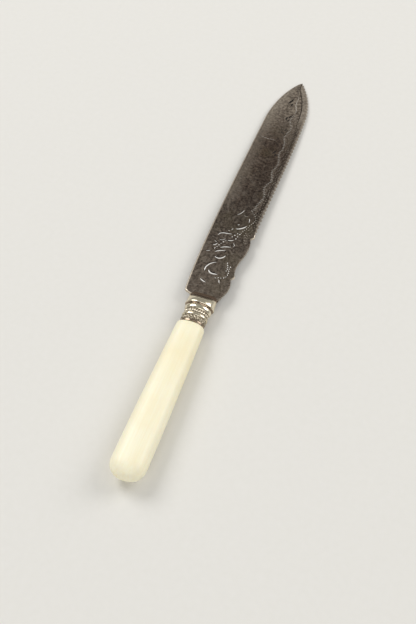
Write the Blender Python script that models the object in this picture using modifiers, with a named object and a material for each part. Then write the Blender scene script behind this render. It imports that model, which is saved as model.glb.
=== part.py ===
"""Cake knife: a saw-toothed plated blade, a cast bolster, a stamped ferrule and a celluloid handle.

The knife is modelled along +Y with the back of the bolster at y = 0, the tip at +Y, the cutting edge at +X
and the blade's faces square to Z. A parent empty then lays it on a table, on the bolster's rim and the tip.
"""

import math

import bmesh
import bpy
import numpy as np
from mathutils import Matrix, Vector, geometry

# Blade, in metres
BLADE_TIP = (0.0016, 0.1818)
BLADE_THICKNESS = 0.0016
ROOT_LEFT = (-0.0068, 0.0068)
ROOT_RIGHT = (0.0073, 0.0068)
HEEL_CHAMFER = (-0.0100, 0.0080)
HEEL_CORNER = (-0.0107, 0.0088)
SPINE_BOW = ((-0.0136, 0.0388), (-0.0115, 0.1058))
SPINE_SHOULDER = (-0.0108, 0.1448)
SPINE_POINT = ((-0.0105, 0.1578), (-0.0051, 0.1759))

# Toothed edge, from the spur at the heel end to the tip
EDGE_START = (0.0116, 0.0548)
EDGE_BOW = ((0.0118, 0.0858), (0.0134, 0.1228))
EDGE_SHOULDER = (0.0122, 0.1488)
EDGE_POINT = ((0.0118, 0.1628), (0.0073, 0.1732))
TOOTH_PITCH = 0.0027
TOOTH_DEPTH = 0.0007
GROUND_WIDTH = 0.0034
GROUND_EDGE_THICKNESS = 0.0005
GROUND_RUN_OUT = 0.009
GRIND_OVERCUT = 0.0012
GRIND_SKIM = 0.00002

# Ogee scallops of the heel: a spur, the notch under it, a round lobe and the foot it slopes to
SPUR_STEP = (-0.0017, -0.0021)
FIRST_SPUR = (0.0117, 0.0526)
FIRST_LOBE = ((0.0116, 0.0483), (0.0116, 0.0418))
FIRST_FOOT = (0.0102, 0.0370)
HOLLOW = ((0.0086, 0.0308), (0.0087, 0.0278))
SECOND_SPUR = (0.0104, 0.0238)
SECOND_LOBE = ((0.0104, 0.0197), (0.0104, 0.0153))
SECOND_FOOT = (0.0091, 0.0121)

# Tang, and the clearance left round it and round the heel
TANG_WIDTH = 0.0038
TANG_END_WIDTH = 0.0024
TANG_END_Y = -0.0505
TANG_POINT_LENGTH = 0.004
SHOULDER_RELIEF = 0.0002
BLADE_CLEARANCE = 0.0002

# Bolster: a domed oval rim that coves down to two thin lips, with the blade's heel in the slot between them
OVAL = 0.70
RIM_HALF_WIDTH = 0.0075
RIM_ROUND = 0.0003
RIM_Y = 0.0006
CROWN_END_Y = 0.0050
CROWN_END_HALF_THICKNESS = 0.0030
LIP_Y = 0.0082
LIP_HALF_THICKNESS = 0.00135
LIP_SQUARENESS = 5.0
CHEEK_Y = 0.0056
CHEEK_HALF_WIDTH = 0.0071
LIP_HALF_WIDTH = 0.0054
SLOT_OVERCUT = 0.002

# Ferrule: half widths of its mouldings, and the places where they sit behind the bolster
FERRULE_FRONT_Y = -0.0003
FERRULE_WALL = 0.0004
FERRULE_LIP = 0.0030
FERRULE_NECK = 0.0060
COLLAR_BEAD = 0.00085
COLLAR_BEAD_HALF_LENGTH = 0.00145
COLLAR_BEAD_Y = -0.0018
BAND = 0.0061
RING_BEAD = 0.00045
RING_BEAD_HALF_LENGTH = 0.0007
RING_BEAD_Y = -0.0066
FOOT_BEAD = 0.00025
FOOT_BEAD_HALF_LENGTH = 0.0004
FOOT_BEAD_Y = -0.0104
FERRULE_END_Y = -0.0111

# Handle
HANDLE_FRONT_Y = -0.0114
HANDLE_BUTT_Y = -0.0970
HANDLE_FRONT_HALF_WIDTH = 0.0071
HANDLE_BUTT_HALF_WIDTH = 0.0084
HANDLE_SQUARENESS = 2.4
SHOULDER_RADIUS = 0.0016
BUTT_DOME_LENGTH = 0.0082
BUTT_DOME_SQUARENESS = 2.3
SPIGOT_FRONT_Y = -0.0012
SPIGOT_HALF_WIDTH = 0.00525
SPIGOT_HALF_THICKNESS = 0.0036
BORE_RADIUS = 0.0029
BORE_END_Y = -0.0560
CEMENT_CLEARANCE = 0.00025

# Fineness of the curved surfaces
OVAL_SIDES = 48
CURVE_STEPS = 12
HANDLE_RINGS = 14
BOLSTER_RINGS = 14
DOME_RINGS = 8
ARC_STEPS = 6
GROUND_STATIONS = 26
SHARP_ANGLE = 40
WELD_DISTANCE = 1e-6


def clear_scene():
    for old in list(bpy.data.objects):
        bpy.data.objects.remove(old, do_unlink=True)


def new_collection(name):
    collection = bpy.data.collections.new(name)
    bpy.context.scene.collection.children.link(collection)
    return collection


def make_material(name, colour, roughness, metallic):
    material = bpy.data.materials.new(name)
    material.use_nodes = True
    shader = material.node_tree.nodes["Principled BSDF"]
    shader.inputs["Base Color"].default_value = (*colour, 1.0)
    shader.inputs["Roughness"].default_value = roughness
    shader.inputs["Metallic"].default_value = metallic
    return material


def add_object(name, mesh, collection):
    piece = bpy.data.objects.new(name, mesh)
    collection.objects.link(piece)
    return piece


def finish_piece(piece, material, sharp_angle=None):
    """Gives the piece its material, and smooth shading broken at edges sharper than sharp_angle degrees."""
    piece.data.materials.append(material)
    if sharp_angle is not None:
        piece.data.shade_smooth()
        piece.data.set_sharp_from_angle(angle=math.radians(sharp_angle))
    return piece


def add_cutter(name, mesh, collection):
    cutter = add_object(name, mesh, collection)
    cutter.hide_render = True
    cutter.display_type = "WIRE"
    return cutter


def cut(piece, cutter):
    boolean = piece.modifiers.new(cutter.name, "BOOLEAN")
    boolean.operation = "DIFFERENCE"
    boolean.object = cutter


def bezier(start, handles, end):
    """Points of a plane Bezier curve, without its end point, so that runs can be chained."""
    knots = [Vector(point) for point in (start, *handles, end)]
    return [tuple(point) for point in geometry.interpolate_bezier(*knots, CURVE_STEPS + 1)][:-1]


def moved(point, step):
    return (point[0] + step[0], point[1] + step[1])


def even_stations(line, count):
    """Places at equal spacing along a line that runs towards the tip, with unit normals on its +X side."""
    line = np.array(line)
    lengths = np.linalg.norm(np.diff(line, axis=0), axis=1)
    travelled = np.concatenate([[0.0], np.cumsum(lengths)])
    wanted = np.linspace(0.0, travelled[-1], count)
    places = np.column_stack([np.interp(wanted, travelled, line[:, axis]) for axis in (0, 1)])
    tangents = np.gradient(places, axis=0)
    normals = np.column_stack([tangents[:, 1], -tangents[:, 0]])
    return places, normals / np.linalg.norm(normals, axis=1)[:, None], travelled[-1]


def loft_mesh(name, rings):
    """A closed mesh through rings of equally many points, with a face across each end."""
    shape = bmesh.new()
    loops = [[shape.verts.new(point) for point in ring] for ring in rings]
    for near, far in zip(loops, loops[1:]):
        for i in range(len(near)):
            j = (i + 1) % len(near)
            shape.faces.new((near[i], near[j], far[j], far[i]))
    shape.faces.new(loops[0][::-1])
    shape.faces.new(loops[-1])
    bmesh.ops.recalc_face_normals(shape, faces=shape.faces)
    mesh = bpy.data.meshes.new(name)
    shape.to_mesh(mesh)
    shape.free()
    return mesh


def oval_ring(y, half_width, half_thickness, squareness=2.0):
    """A superellipse square to Y: squareness 2 is an ellipse, and larger values fill the corners.

    The middle of a side, and not a corner, is lowest, so the oval lies still as the smooth one does.
    """
    ring = []
    for i in range(OVAL_SIDES):
        angle = math.tau * (i + 0.5) / OVAL_SIDES
        across = math.copysign(abs(math.cos(angle)) ** (2 / squareness), math.cos(angle))
        upward = math.copysign(abs(math.sin(angle)) ** (2 / squareness), math.sin(angle))
        ring.append((half_width * across, y, half_thickness * upward))
    return ring


def box_mesh(name, low, high):
    size = Vector(high) - Vector(low)
    centre = (Vector(high) + Vector(low)) / 2
    shape = bmesh.new()
    bmesh.ops.create_cube(shape, size=1.0, matrix=Matrix.Translation(centre) @ Matrix.Diagonal((*size, 1.0)))
    mesh = bpy.data.meshes.new(name)
    shape.to_mesh(mesh)
    shape.free()
    return mesh


def rod_mesh(name, radius, front_y, end_y):
    """A round rod along Y, about the knife's axis."""
    place = Matrix.Translation((0.0, (front_y + end_y) / 2, 0.0)) @ Matrix.Rotation(math.pi / 2, 4, "X")
    shape = bmesh.new()
    bmesh.ops.create_cone(
        shape, cap_ends=True, segments=OVAL_SIDES // 2, radius1=radius, radius2=radius,
        depth=front_y - end_y, matrix=place,
    )
    mesh = bpy.data.meshes.new(name)
    shape.to_mesh(mesh)
    shape.free()
    return mesh


def edge_line():
    """The line through the points of the teeth, from the heel end to the tip."""
    lower = bezier(EDGE_START, EDGE_BOW, EDGE_SHOULDER)
    upper = bezier(EDGE_SHOULDER, EDGE_POINT, BLADE_TIP)
    return lower + upper + [BLADE_TIP]


def tooth_points():
    """Points and gullets of the saw teeth in turn, evenly pitched along the edge."""
    length = even_stations(edge_line(), 2)[2]
    teeth = round(length / TOOTH_PITCH)
    places, normals, _ = even_stations(edge_line(), 2 * teeth + 1)
    places[1::2] -= normals[1::2] * TOOTH_DEPTH
    return [tuple(place) for place in places]


def blade_outline():
    """The plan of the plate, from the tang up the spine, over the tip and back down the toothed edge."""
    tang = [
        (-TANG_END_WIDTH / 2, TANG_END_Y),
        (-TANG_WIDTH / 2, TANG_END_Y + TANG_POINT_LENGTH),
        (-TANG_WIDTH / 2, ROOT_LEFT[1] + SHOULDER_RELIEF),
    ]
    heel = [ROOT_LEFT, HEEL_CHAMFER]
    spine = bezier(HEEL_CORNER, SPINE_BOW, SPINE_SHOULDER) + bezier(SPINE_SHOULDER, SPINE_POINT, BLADE_TIP)
    teeth = tooth_points()[::-1]
    first = [FIRST_SPUR] + bezier(moved(FIRST_SPUR, SPUR_STEP), FIRST_LOBE, FIRST_FOOT)
    hollow = bezier(FIRST_FOOT, HOLLOW, SECOND_SPUR)
    second = [SECOND_SPUR] + bezier(moved(SECOND_SPUR, SPUR_STEP), SECOND_LOBE, SECOND_FOOT)
    root = [SECOND_FOOT, ROOT_RIGHT]
    tang_back = [(-x, y) for x, y in reversed(tang)]
    return tang + heel + spine + teeth + first + hollow + second + root + tang_back


def plate_mesh(name, outline, thickness):
    """A flat plate from a filled 2D curve, with the loose caps of the curve welded to its rim."""
    curve = bpy.data.curves.new(name, "CURVE")
    curve.dimensions = "2D"
    curve.fill_mode = "BOTH"
    curve.extrude = thickness / 2
    spline = curve.splines.new("POLY")
    spline.points.add(len(outline) - 1)
    for point, place in zip(spline.points, outline):
        point.co = (*place, 0.0, 1.0)
    spline.use_cyclic_u = True
    guide = bpy.data.objects.new(name, curve)
    bpy.context.scene.collection.objects.link(guide)
    graph = bpy.context.evaluated_depsgraph_get()
    mesh = bpy.data.meshes.new_from_object(guide.evaluated_get(graph))
    bpy.data.objects.remove(guide)
    shape = bmesh.new()
    shape.from_mesh(mesh)
    bmesh.ops.remove_doubles(shape, verts=shape.verts, dist=WELD_DISTANCE)
    bmesh.ops.recalc_face_normals(shape, faces=shape.faces)
    shape.to_mesh(mesh)
    shape.free()
    return mesh


def ground_bevel_mesh(name, side):
    """What grinding takes off one face (side +1 or -1) along the toothed edge, fading out at the heel end."""
    face = BLADE_THICKNESS / 2
    drop = face - GROUND_EDGE_THICKNESS / 2
    past_tip = Vector(BLADE_TIP) + (Vector(BLADE_TIP) - Vector(EDGE_POINT[1])).normalized() * GROUND_WIDTH
    line = [FIRST_SPUR] + edge_line() + [tuple(past_tip)]
    places, normals, length = even_stations(line, GROUND_STATIONS)
    rings = []
    for i, (place, normal) in enumerate(zip(places, normals)):
        share = min(1.0, length * i / (GROUND_STATIONS - 1) / GROUND_RUN_OUT)
        inner = place - normal * GROUND_WIDTH * share
        outer = place + normal * GRIND_OVERCUT
        outer_z = face - drop * share * (1 + GRIND_OVERCUT / GROUND_WIDTH)
        rings.append([
            (*inner, side * (face + GRIND_SKIM)),
            (*outer, side * (outer_z + GRIND_SKIM)),
            (*outer, side * 2 * face),
            (*inner, side * 2 * face),
        ])
    return loft_mesh(name, rings)


def make_blade(parts, cutters, material):
    blade = add_object("blade", plate_mesh("blade", blade_outline(), BLADE_THICKNESS), parts)
    for name, side in (("grind_upper", 1), ("grind_lower", -1)):
        cut(blade, add_cutter(name, ground_bevel_mesh(name, side), cutters))
    return finish_piece(blade, material)


def bolster_half_thickness(y):
    """A domed crown behind the cove, then a hollow that runs out on the lips."""
    rim_half_thickness = RIM_HALF_WIDTH * OVAL
    if y < CROWN_END_Y:
        share = (y - RIM_Y) / (CROWN_END_Y - RIM_Y)
        return rim_half_thickness - (rim_half_thickness - CROWN_END_HALF_THICKNESS) * share ** 2
    share = (y - CROWN_END_Y) / (LIP_Y - CROWN_END_Y)
    return LIP_HALF_THICKNESS + (CROWN_END_HALF_THICKNESS - LIP_HALF_THICKNESS) * (1 - share) ** 2


def bolster_half_width(y):
    """Nearly straight cheeks, with the corners of the lips rounded off in plan."""
    if y < CHEEK_Y:
        share = (y - RIM_Y) / (CHEEK_Y - RIM_Y)
        return RIM_HALF_WIDTH + (CHEEK_HALF_WIDTH - RIM_HALF_WIDTH) * share
    share = (y - CHEEK_Y) / (LIP_Y - CHEEK_Y)
    return LIP_HALF_WIDTH + (CHEEK_HALF_WIDTH - LIP_HALF_WIDTH) * math.sqrt(1 - share ** 2)


def bolster_rings():
    """Sections from the flat back, over the round of the rim, down the cove to the lips."""
    rings = [oval_ring(0.0, RIM_HALF_WIDTH - RIM_ROUND, RIM_HALF_WIDTH * OVAL - RIM_ROUND)]
    for i in range(BOLSTER_RINGS + 1):
        share = math.sin(math.pi / 2 * i / BOLSTER_RINGS)
        y = RIM_Y + (LIP_Y - RIM_Y) * share
        squareness = 2.0 + (LIP_SQUARENESS - 2.0) * share ** 3
        rings.append(oval_ring(y, bolster_half_width(y), bolster_half_thickness(y), squareness))
    return rings


def make_bolster(parts, cutters, material):
    bolster = add_object("bolster", loft_mesh("bolster", bolster_rings()), parts)
    half_width = TANG_WIDTH / 2 + BLADE_CLEARANCE
    half_thickness = BLADE_THICKNESS / 2 + BLADE_CLEARANCE
    slot_y = ROOT_LEFT[1] - BLADE_CLEARANCE
    past_side = RIM_HALF_WIDTH + SLOT_OVERCUT
    past_lips = LIP_Y + SLOT_OVERCUT
    tang_box = ((-half_width, -SLOT_OVERCUT, -half_thickness), (half_width, past_lips, half_thickness))
    heel_box = ((-past_side, slot_y, -half_thickness), (past_side, past_lips, half_thickness))
    for name, box in (("tang_slot", tang_box), ("heel_slot", heel_box)):
        cut(bolster, add_cutter(name, box_mesh(name, *box), cutters))
    return finish_piece(bolster, material, sharp_angle=SHARP_ANGLE)


def bead_arc(y, half_length, root, height):
    """A rounded moulding standing up by height from the root half width, front to back."""
    points = []
    for i in range(ARC_STEPS + 1):
        angle = math.pi * i / ARC_STEPS
        points.append((root + height * math.sin(angle), y + half_length * math.cos(angle)))
    return points


def ferrule_profile():
    """The section along the wide side: mouldings from the front back to the handle, then the inside wall."""
    front = [(FERRULE_LIP, FERRULE_FRONT_Y)]
    collar = bead_arc(COLLAR_BEAD_Y, COLLAR_BEAD_HALF_LENGTH, FERRULE_NECK, COLLAR_BEAD)
    ring = bead_arc(RING_BEAD_Y, RING_BEAD_HALF_LENGTH, BAND, RING_BEAD)
    foot = bead_arc(FOOT_BEAD_Y, FOOT_BEAD_HALF_LENGTH, BAND, FOOT_BEAD)
    end = [(BAND, FERRULE_END_Y)]
    bore = FERRULE_NECK - FERRULE_WALL
    lip_back = FERRULE_FRONT_Y - FERRULE_WALL
    inside = [(bore, FERRULE_END_Y), (bore, lip_back), (FERRULE_LIP, lip_back)]
    return front + collar + ring + foot + end + inside


def make_ferrule(parts, material):
    """Turns the section round the knife's axis, then presses it oval."""
    profile = bpy.data.meshes.new("ferrule_profile")
    points = ferrule_profile()
    loop = [(i, (i + 1) % len(points)) for i in range(len(points))]
    profile.from_pydata([(x, y, 0.0) for x, y in points], loop, [])
    turned = add_object("ferrule_turned", profile, parts)
    screw = turned.modifiers.new("turn", "SCREW")
    screw.axis = "Y"
    screw.steps = OVAL_SIDES
    screw.render_steps = OVAL_SIDES
    screw.use_merge_vertices = True
    screw.merge_threshold = WELD_DISTANCE
    graph = bpy.context.evaluated_depsgraph_get()
    mesh = bpy.data.meshes.new_from_object(turned.evaluated_get(graph))
    bpy.data.objects.remove(turned)
    mesh.transform(Matrix.Diagonal((1.0, 1.0, OVAL, 1.0)))
    shape = bmesh.new()
    shape.from_mesh(mesh)
    bmesh.ops.recalc_face_normals(shape, faces=shape.faces)
    shape.to_mesh(mesh)
    shape.free()
    return finish_piece(add_object("ferrule", mesh, parts), material, sharp_angle=SHARP_ANGLE)


def handle_half_width(y):
    """A full taper near the front that eases off towards the butt."""
    share = (y - HANDLE_FRONT_Y) / (HANDLE_BUTT_Y - HANDLE_FRONT_Y)
    swell = math.sin(share * math.pi / 2)
    return HANDLE_FRONT_HALF_WIDTH + (HANDLE_BUTT_HALF_WIDTH - HANDLE_FRONT_HALF_WIDTH) * swell


def handle_ring(y, lost=0.0, shrink=1.0):
    half_width = handle_half_width(y)
    return oval_ring(
        y, (half_width - lost) * shrink, (half_width * OVAL - lost) * shrink, HANDLE_SQUARENESS,
    )


def handle_rings():
    """Spigot, rounded shoulder, tapering grip and domed butt, front to back."""
    rings = [
        oval_ring(SPIGOT_FRONT_Y, SPIGOT_HALF_WIDTH, SPIGOT_HALF_THICKNESS),
        oval_ring(HANDLE_FRONT_Y, SPIGOT_HALF_WIDTH, SPIGOT_HALF_THICKNESS),
    ]
    for i in range(ARC_STEPS + 1):
        angle = math.pi / 2 * i / ARC_STEPS
        y = HANDLE_FRONT_Y - SHOULDER_RADIUS * (1 - math.cos(angle))
        rings.append(handle_ring(y, lost=SHOULDER_RADIUS * (1 - math.sin(angle))))
    grip_front = HANDLE_FRONT_Y - SHOULDER_RADIUS
    grip_back = HANDLE_BUTT_Y + BUTT_DOME_LENGTH
    for i in range(1, HANDLE_RINGS):
        rings.append(handle_ring(grip_front + (grip_back - grip_front) * i / HANDLE_RINGS))
    for i in range(DOME_RINGS):
        share = math.sin(math.pi / 2 * i / DOME_RINGS)
        shrink = (1 - share ** BUTT_DOME_SQUARENESS) ** (1 / BUTT_DOME_SQUARENESS)
        rings.append(handle_ring(grip_back - BUTT_DOME_LENGTH * share, shrink=shrink))
    return rings


def make_handle(parts, cutters, material):
    handle = add_object("handle", loft_mesh("handle", handle_rings()), parts)
    bore = rod_mesh("handle_bore", BORE_RADIUS, 0.0, BORE_END_Y)
    cut(handle, add_cutter("handle_bore", bore, cutters))
    return finish_piece(handle, material, sharp_angle=SHARP_ANGLE)


def make_cement(parts, cutters, material):
    """Fills the bore round the tang, open at the front where the tang goes in."""
    radius = BORE_RADIUS - CEMENT_CLEARANCE
    end_y = BORE_END_Y + CEMENT_CLEARANCE
    cement = add_object("tang_cement", rod_mesh("tang_cement", radius, SPIGOT_FRONT_Y, end_y), parts)
    half_width = TANG_WIDTH / 2 + BLADE_CLEARANCE
    half_thickness = BLADE_THICKNESS / 2 + BLADE_CLEARANCE
    low = (-half_width, TANG_END_Y - BLADE_CLEARANCE, -half_thickness)
    high = (half_width, 0.0, half_thickness)
    cut(cement, add_cutter("tang_seat", box_mesh("tang_seat", low, high), cutters))
    return finish_piece(cement, material, sharp_angle=SHARP_ANGLE)


def world_points(pieces):
    """Corners of the pieces' meshes as they stand, modifiers included."""
    graph = bpy.context.evaluated_depsgraph_get()
    points = []
    for piece in pieces:
        shown = piece.evaluated_get(graph)
        mesh = shown.to_mesh()
        points += [shown.matrix_world @ vertex.co for vertex in mesh.vertices]
        shown.to_mesh_clear()
    return points


def resting_tilt(blade, bolster):
    """How far the knife, set down on the bolster's rim, tips forward before the blade touches the table."""
    rim = min(world_points([bolster]), key=lambda point: point.z)
    steps = [point - rim for point in world_points([blade]) if point.y > rim.y]
    return min(math.atan2(step.z, step.y) for step in steps)


def lay_at_rest(pieces, cutters, collection, tilt):
    """Tips the knife on to the bolster's rim and the blade's tip, over the middle of its own outline."""
    rest = bpy.data.objects.new("rest", None)
    collection.objects.link(rest)
    for piece in [*pieces, *cutters.objects]:
        piece.parent = rest
    rest.rotation_euler.x = -tilt
    bpy.context.view_layer.update()
    points = world_points(pieces)
    low = Vector(map(min, *points))
    high = Vector(map(max, *points))
    rest.location = (-(low.x + high.x) / 2, -(low.y + high.y) / 2, -low.z)
    bpy.context.view_layer.update()


def build():
    clear_scene()
    parts = new_collection("cake_knife")
    cutters = new_collection("cutters")
    plated = make_material("tarnished_silver_plate", (0.30, 0.26, 0.22), 0.38, 1.0)
    bright = make_material("polished_silver_plate", (0.72, 0.69, 0.62), 0.18, 1.0)
    celluloid = make_material("ivory_celluloid", (0.86, 0.79, 0.61), 0.32, 0.0)
    resin = make_material("tang_resin", (0.10, 0.05, 0.02), 0.60, 0.0)
    blade = make_blade(parts, cutters, plated)
    bolster = make_bolster(parts, cutters, bright)
    pieces = [
        blade,
        bolster,
        make_ferrule(parts, bright),
        make_handle(parts, cutters, celluloid),
        make_cement(parts, cutters, resin),
    ]
    lay_at_rest(pieces, cutters, parts, resting_tilt(blade, bolster))


build()
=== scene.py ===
"""Looks of an old plated cake knife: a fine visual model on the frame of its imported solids.

Pieces are drawn in millimetres in the knife's own frame: tip to +Y, toothed edge to +X, engraved face up,
and the middle of the bolster's back at the origin. LAY_DOWN puts them where the solids rest on the table.
"""

import math
from functools import cache

import bmesh
import bpy
from mathutils import Matrix, Vector
from mathutils.geometry import interpolate_bezier


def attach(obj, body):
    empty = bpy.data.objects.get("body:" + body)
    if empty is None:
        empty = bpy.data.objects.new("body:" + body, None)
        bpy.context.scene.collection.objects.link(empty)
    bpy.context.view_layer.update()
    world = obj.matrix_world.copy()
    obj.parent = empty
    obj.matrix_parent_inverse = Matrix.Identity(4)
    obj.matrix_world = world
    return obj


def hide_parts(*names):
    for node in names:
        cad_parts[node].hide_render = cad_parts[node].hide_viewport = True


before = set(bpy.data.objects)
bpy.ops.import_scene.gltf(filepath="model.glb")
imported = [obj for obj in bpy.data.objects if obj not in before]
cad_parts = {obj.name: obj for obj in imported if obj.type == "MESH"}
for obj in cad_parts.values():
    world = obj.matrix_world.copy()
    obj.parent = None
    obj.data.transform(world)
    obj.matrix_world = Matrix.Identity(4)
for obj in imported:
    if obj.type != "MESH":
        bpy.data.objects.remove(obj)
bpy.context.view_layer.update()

MM = 0.001
# How the solids lie on the bolster's rim and the tip: place of the knife's origin, mm, and turn about X.
REST_AT = (-0.22834, -42.45029, 5.25205)
REST_TILT = math.radians(-1.4234013)
LAY_DOWN = Matrix.Scale(MM, 4) @ Matrix.Translation(REST_AT) @ Matrix.Rotation(REST_TILT, 4, "X")
# Edges bent further than this are shaded sharp; the engraved blade has the finer limit.
SHARP_ANGLE, CUT_SHARP_ANGLE = math.radians(35), math.radians(24)

# Blade outline, mm: (x, y) corners and the two handles of each curve between them.
TIP = (1.6, 181.78)
HALF_THICK = 0.8
ROOT_LEFT, ROOT_RIGHT = (-6.8, 6.8), (7.3, 6.8)
ROOT_STATIONS = (6.8, 7.4, 8.0, 8.4, 8.8, 9.6, 10.8)
HEEL_CHAMFER, HEEL_CORNER = (-10.0, 8.0), (-10.7, 8.8)
SPINE_BOW, SPINE_SHOULDER = ((-13.58, 38.8), (-11.49, 105.8)), (-10.8, 144.8)
SPINE_POINT = ((-10.5, 157.8), (-5.1, 175.9))
EDGE_START, EDGE_BOW = (11.6, 54.8), ((11.8, 85.8), (13.38, 122.8))
EDGE_SHOULDER, EDGE_POINT = (12.2, 148.8), ((11.8, 162.8), (7.3, 173.2))
FIRST_SPUR, FIRST_NOTCH = (11.7, 52.6), (10.0, 50.5)
FIRST_LOBE, FIRST_FOOT = ((11.6, 48.3), (11.6, 41.8)), (10.2, 37.0)
HOLLOW = ((8.6, 30.8), (8.7, 27.8))
SECOND_SPUR, SECOND_NOTCH = (10.4, 23.8), (8.7, 21.7)
SECOND_LOBE, SECOND_FOOT = ((10.4, 19.7), (10.4, 15.3)), (9.1, 12.1)
SPINE_STEPS, EDGE_STEPS, POINT_STEPS, LOBE_STEPS, HOLLOW_STEPS = 60, 90, 60, 24, 30
TANG_HALF_WIDTH, TANG_END_HALF_WIDTH, TANG_POINT_HALF_WIDTH = 1.9, 1.2, 0.3
TANG_FRONT_Y, TANG_TAPER_Y, TANG_END_Y, TANG_POINT_LENGTH = 7.2, -6.0, -50.5, 4.0

# Saw teeth, the ground bevel behind them, and the groove at its shoulder near the tip, mm.
TOOTH_PITCH, TOOTH_DEPTH, TOOTH_STEPS, TOOTH_FULLNESS = 2.7, 0.7, 8, 0.8
TANGENT_REACH, WELD = 0.2, 0.0005
GROUND_WIDTH, GROUND_HALF_EDGE, GROUND_RUN_OUT = 3.9, 0.25, 9.0
SOFT_EDGE, SOFT_HALF_EDGE = 0.3, 0.5
TIP_SLOPE, TIP_WIDTH, NARROW_WIDTH = 0.113, 8.0, 9.0
GROOVE_DEPTH, GROOVE_SPAN = 0.10, (136.0, 150.0)
SHOULDER_GAP, SHOULDER_SHARE, GROOVE_FLOOR = 0.4, 0.3, 0.35

# Each point carries a value of painted light and wear: above 0 lighter (painted highlights, glints and
# sheen), below 0 darker (tarnish and painted shade).
# Softened spine, from its side to the face: (mm in from the side, half thickness, painted highlight on the
# rounded edge).
SPINE_ROUND = ((0, 0.42, 0.0), (0.06, 0.53, 0.15), (0.20, 0.63, 0.38), (0.42, 0.715, 0.36),
               (0.68, 0.775, 0.14), (0.95, 0.8, 0.0))
# Face, spine to bevel: (share of the width, painted highlight near the tip, along the middle painted sheen
# above 0 and painted shade below 0).
FACE_PAINTED_LIGHT = ((0.02, 0.19, 0.13), (0.15, 0.13, 0.08), (0.3, 0.05, 0.03), (0.45, 0, -0.08), (0.6, 0, -0.2),
             (0.75, 0, -0.2), (0.9, 0, -0.12))
# Bevel, shoulder to edge: (share of the width, lighter near the tip, lighter once ground, painted glint at
# the teeth all along, painted shade taken).
BEVEL_PAINTED_LIGHT = ((0, 0.13, 0, 0, True), (0.45, 0.17, 0, 0, True), (0.72, 0, 0.1, 0, False),
              (0.85, 0, 0, 0.25, False), (1, 0, 0, 0.32, False))
# Millimetres along the blade where the painted highlight at the tip, the painted sheen by the spine and the
# painted shade in the middle come in.
TIP_HIGHLIGHT_SPAN, SPINE_SHEEN, MIDDLE_SHADE = (126.0, 152.0), (62.0, 80.0), (44.0, 60.0)
# Groove tarnish, painted shade on the ground bevel, painted glint on the heel chamfer, and how far the
# painted glint at each spur reaches, mm.
GROOVE_TARNISH, BEVEL_PAINTED_SHADE, HEEL_GLINT, SPUR_GLINT_REACH = -0.9, -0.5, 0.7, 1.2

# Bolster, mm.
OVAL, SIDES = 0.70, 128
SNUG = 0.9955
RIM_HALF_WIDTH, RIM_ROUND, RIM_Y = 7.5, 0.3, 0.6
RIM_BREAK_Y, RIM_BREAK = 0.12, 0.09
CROWN_STEPS, CROWN_END_Y, CROWN_END_HALF_THICK = 32, 5.0, 3.0
LIP_Y, LIP_HALF_THICK, LIP_SQUARENESS = 8.2, 1.35, 5.0
CHEEK_Y, CHEEK_HALF_WIDTH, LIP_HALF_WIDTH = 5.6, 7.1, 5.4
# The cove is browned as a painted reflection of brown surroundings; the back of the rim is tarnished.
COVE_SPAN, COVE_PAINTED_REFLECTION, BACK_Y, BACK_TARNISH = (4.9, 5.7), -0.85, 0.1, -0.6
HEEL_SLOT_Y, SLOT_HALF_THICK, TANG_SLOT_HALF_WIDTH = 6.6, 1.0, 2.1
SLOT_REACH, SLOT_FRONT_Y, SLOT_BACK_Y = 9, 10, -2

# Ferrule, mm: outline points are (half width, y), mouldings (y, half length, root, height, steps).
FERRULE_LIP = ((5.55, -0.08), (6.62, -0.08), (6.74, -0.14), (6.72, -0.26), (6.46, -0.44))
COLLAR, COLLAR_COVERED = (-1.8, 1.45, 6.0, 0.85, 16), 4
LEAF_VALLEY = ((6.0, -3.3), (6.0, -3.4), (5.98, -4.4), (6.0, -5.5))
FINE_BEAD, BROAD_BEAD = (-5.72, 0.16, 6.05, 0.16, 6), (-6.6, 0.7, 6.1, 0.45, 12)
SKIRT = ((6.12, -7.4), (6.22, -8.2), (6.24, -9.2), (6.14, -9.9))
FOOT_BEAD, FERRULE_END = (-10.4, 0.4, 6.1, 0.18, 8), ((6.1, -10.95), (6.05, -11.1))
FERRULE_WALL, FERRULE_BORE = 0.4, ((5.6, -8.0), (5.6, -0.9), (5.5, -0.6))
VALLEY_HALF_WIDTH, FOOT_Y, VALLEY_TARNISH = 6.13, -10.0, -0.7
SOLDER_Y, SOLDER_TARNISH = -0.5, -0.75
ORNAMENT_BANDS = ((-5.55, -3.35), (-10.0, -7.3))
# Rows of stamped marks: name, y, half width of the ring, count, mark, lean, shift as a share of the pitch.
# A mark is (length, width, height, sides, pointedness).
LEAF_BAND = (
    ("leaf_row", -4.42, 5.98, 26, (2.0, 0.95, 0.30, 12, 1.4), 0.0, 0.0),
    ("bead_row", -4.9, 5.98, 26, (0.45, 0.45, 0.22, 8, 1.0), 0.0, 0.5),
)
SKIRT_FOLIAGE = (
    ("leaves_right", -8.35, 6.20, 18, (1.9, 0.85, 0.18, 12, 1.4), 0.75, 0.0),
    ("leaves_left", -9.10, 6.20, 18, (1.7, 0.80, 0.18, 12, 1.4), -0.85, 0.5),
    ("leaf_tips", -7.75, 6.15, 18, (0.9, 0.5, 0.14, 10, 1.2), -0.5, 0.55),
    ("foot_beads", -9.75, 6.15, 36, (0.5, 0.5, 0.16, 8, 1.0), 0.0, 0.25),
)
RING_POINTS = 96
MARK_FOOT, MARK_SHOULDER, MARK_SHOULDER_RISE = -0.06, 0.6, 0.75

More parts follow.
